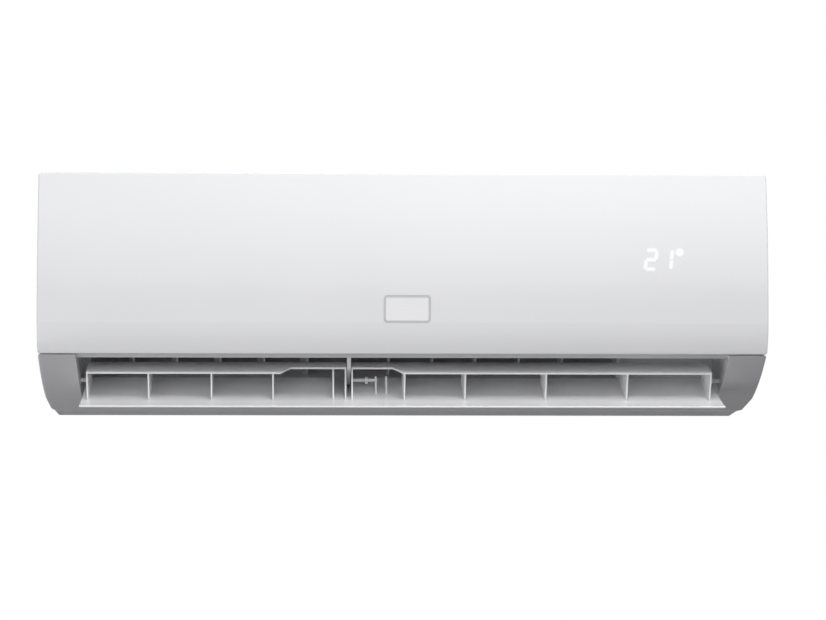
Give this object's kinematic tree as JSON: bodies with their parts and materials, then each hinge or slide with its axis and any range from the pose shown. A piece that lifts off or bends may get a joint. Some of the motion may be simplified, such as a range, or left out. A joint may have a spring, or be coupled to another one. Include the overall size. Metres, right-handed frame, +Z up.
{
  "type": "mini split indoor unit",
  "caption": "Wall-hung indoor unit of a split air conditioner, with a hinged front panel, swinging louver, steerable vanes, cross-flow fan, coil, filters and wall plate.",
  "frame": {"origin": "centre of the wall plate's four-bolt pattern on the wall plane", "axes": "+X to the right as seen from the front, +Y towards the wall, +Z up"},
  "size_m": [0.79, 0.2, 0.275],
  "materials": {
    "acetal": "waxy",
    "black_rubber": "matt",
    "brass_shaft": "turned",
    "bright_steel": "ground",
    "chassis_plastic": "moulded, matt grey",
    "circuit_board": "solder-masked board",
    "copper_tube": "drawn copper tube",
    "dark_plastic": "moulded, matt black",
    "filter_net": "woven nylon net",
    "filter_plastic": "moulded, matt",
    "fin_aluminium": "thin blue-grey coated fins",
    "gloss_white_panel": "high gloss white",
    "grey_button": "satin",
    "motor_case": "moulded resin",
    "smoked_lens": "translucent diffuser",
    "vane_plastic": "moulded, matt light grey",
    "white_casing": "moulded, fine satin",
    "zinc_steel": "galvanised, dull"
  },
  "bodies": {
    "housing": {"wall_plate": "zinc_steel", "rear_chassis": "chassis_plastic", "front_frame": "white_casing", "display_housing": "white_casing", "display_board": "circuit_board", "display_lens": "smoked_lens", "button_switch": "circuit_board", "flap_hanger": "white_casing", "flap_motor": "zinc_steel", "flap_bush": "acetal", "fan_bearing": "bright_steel", "bearing_rubber": "black_rubber", "fan_motor": "motor_case", "motor_clamp": "white_casing", "coil_front": "fin_aluminium", "coil_upper": "fin_aluminium", "coil_rear": "fin_aluminium", "coil_plate_left": "zinc_steel", "coil_plate_right": "zinc_steel", "drain_pan": "chassis_plastic", "control_box": "dark_plastic", "control_box_cover": "zinc_steel", "main_board": "circuit_board", "terminal_block": "dark_plastic", "gas_pipe": "copper_tube", "liquid_pipe": "copper_tube", "gas_union": "brass_shaft", "liquid_union": "brass_shaft", "pipe_clip": "chassis_plastic"},
    "panel": {"front_panel": "gloss_white_panel"},
    "louver": {"flap_blade": "gloss_white_panel", "flap_inner_frame": "white_casing", "flap_motor_shaft": "acetal"},
    "latch": {"flap_latch_pin": "white_casing"},
    "fan": {"fan_wheel": "dark_plastic", "fan_stub": "bright_steel", "motor_shaft": "bright_steel"},
    "filter_left": {"filter_frame_left": "filter_plastic", "filter_mesh_left": "filter_net"},
    "filter_right": {"filter_frame_right": "filter_plastic", "filter_mesh_right": "filter_net"},
    "button": {"emergency_button": "grey_button"},
    "link_left": {"vane_link_left": "vane_plastic"},
    "link_right": {"vane_link_right": "vane_plastic"},
    "vane_left_1": {"vane_left_1": "vane_plastic"},
    "vane_left_2": {"vane_left_2": "vane_plastic"},
    "vane_left_3": {"vane_left_3": "vane_plastic"},
    "vane_left_4": {"vane_left_4": "vane_plastic"},
    "vane_left_5": {"vane_left_5": "vane_plastic"},
    "vane_right_1": {"vane_right_1": "vane_plastic"},
    "vane_right_2": {"vane_right_2": "vane_plastic"},
    "vane_right_3": {"vane_right_3": "vane_plastic"},
    "vane_right_4": {"vane_right_4": "vane_plastic"},
    "vane_right_5": {"vane_right_5": "vane_plastic"}
  },
  "joints": [
    {"name": "panel_hinge", "type": "hinge", "parent": "housing", "child": "panel", "pos_m": [0, -0.176, 0.092], "axis": [-1, 0, 0], "range_deg": [0, 60]},
    {"name": "louver_hinge", "type": "hinge", "parent": "housing", "child": "louver", "pos_m": [0, -0.137, -0.1225], "axis": [1, 0, 0], "range_deg": [-54.6, 18]},
    {"name": "latch_slide", "type": "slide", "parent": "louver", "child": "latch", "axis": [1, 0, 0], "range_m": [0, 0.0075]},
    {"name": "fan_spin", "type": "hinge", "parent": "housing", "child": "fan", "pos_m": [0, -0.082, -0.042], "axis": [1, 0, 0], "continuous": true},
    {"name": "filter_left_slide", "type": "hinge", "parent": "housing", "child": "filter_left", "pos_m": [0, -0.045, -0.043], "axis": [-1, 0, 0], "range_deg": [0, 10]},
    {"name": "filter_right_slide", "type": "hinge", "parent": "housing", "child": "filter_right", "pos_m": [0, -0.045, -0.043], "axis": [-1, 0, 0], "range_deg": [0, 10]},
    {"name": "button_press", "type": "slide", "parent": "housing", "child": "button", "axis": [0, 0.9998, -0.0214], "range_m": [0, 0.0015], "stiffness_N_per_m": 400, "springref_m": -0.0005},
    {"name": "vane_left_1_pivot", "type": "hinge", "parent": "housing", "child": "vane_left_1", "pos_m": [-0.3006, -0.084, -0.11681], "axis": [0, -0.5849, 0.8111], "range_deg": [-46, 18]},
    {"name": "vane_left_2_pivot", "type": "hinge", "parent": "housing", "child": "vane_left_2", "pos_m": [-0.252, -0.084, -0.11681], "axis": [0, -0.5849, 0.8111], "range_deg": [-46, 18]},
    {"name": "vane_left_3_pivot", "type": "hinge", "parent": "housing", "child": "vane_left_3", "pos_m": [-0.2034, -0.084, -0.11681], "axis": [0, -0.5849, 0.8111], "range_deg": [-46, 18]},
    {"name": "vane_left_4_pivot", "type": "hinge", "parent": "housing", "child": "vane_left_4", "pos_m": [-0.1548, -0.084, -0.11681], "axis": [0, -0.5849, 0.8111], "range_deg": [-46, 18]},
    {"name": "vane_left_5_pivot", "type": "hinge", "parent": "housing", "child": "vane_left_5", "pos_m": [-0.1062, -0.084, -0.11681], "axis": [0, -0.5849, 0.8111], "range_deg": [-46, 18]},
    {"name": "link_left_pin", "type": "hinge", "parent": "vane_left_1", "child": "link_left", "pos_m": [-0.29649, -0.10077, -0.12175], "axis": [0, -0.5849, 0.8111], "range_deg": [-18, 46]},
    {"name": "vane_right_1_pivot", "type": "hinge", "parent": "housing", "child": "vane_right_1", "pos_m": [-0.012, -0.084, -0.11681], "axis": [0, -0.5849, 0.8111], "range_deg": [-32, 32]},
    {"name": "vane_right_2_pivot", "type": "hinge", "parent": "housing", "child": "vane_right_2", "pos_m": [0.0366, -0.084, -0.11681], "axis": [0, -0.5849, 0.8111], "range_deg": [-32, 32]},
    {"name": "vane_right_3_pivot", "type": "hinge", "parent": "housing", "child": "vane_right_3", "pos_m": [0.0852, -0.084, -0.11681], "axis": [0, -0.5849, 0.8111], "range_deg": [-32, 32]},
    {"name": "vane_right_4_pivot", "type": "hinge", "parent": "housing", "child": "vane_right_4", "pos_m": [0.1338, -0.084, -0.11681], "axis": [0, -0.5849, 0.8111], "range_deg": [-32, 32]},
    {"name": "vane_right_5_pivot", "type": "hinge", "parent": "housing", "child": "vane_right_5", "pos_m": [0.1824, -0.084, -0.11681], "axis": [0, -0.5849, 0.8111], "range_deg": [-32, 32]},
    {"name": "link_right_pin", "type": "hinge", "parent": "vane_right_1", "child": "link_right", "pos_m": [-0.012, -0.10118, -0.12204], "axis": [0, -0.5849, 0.8111], "range_deg": [-32, 32]}
  ],
  "couplings": [
    {"joint": "vane_left_2_pivot", "follows": "vane_left_1_pivot", "ratio": 1},
    {"joint": "vane_left_3_pivot", "follows": "vane_left_1_pivot", "ratio": 1},
    {"joint": "vane_left_4_pivot", "follows": "vane_left_1_pivot", "ratio": 1},
    {"joint": "vane_left_5_pivot", "follows": "vane_left_1_pivot", "ratio": 1},
    {"joint": "link_left_pin", "follows": "vane_left_1_pivot", "ratio": -1},
    {"joint": "vane_right_2_pivot", "follows": "vane_right_1_pivot", "ratio": 1},
    {"joint": "vane_right_3_pivot", "follows": "vane_right_1_pivot", "ratio": 1},
    {"joint": "vane_right_4_pivot", "follows": "vane_right_1_pivot", "ratio": 1},
    {"joint": "vane_right_5_pivot", "follows": "vane_right_1_pivot", "ratio": 1},
    {"joint": "link_right_pin", "follows": "vane_right_1_pivot", "ratio": -1}
  ]
}
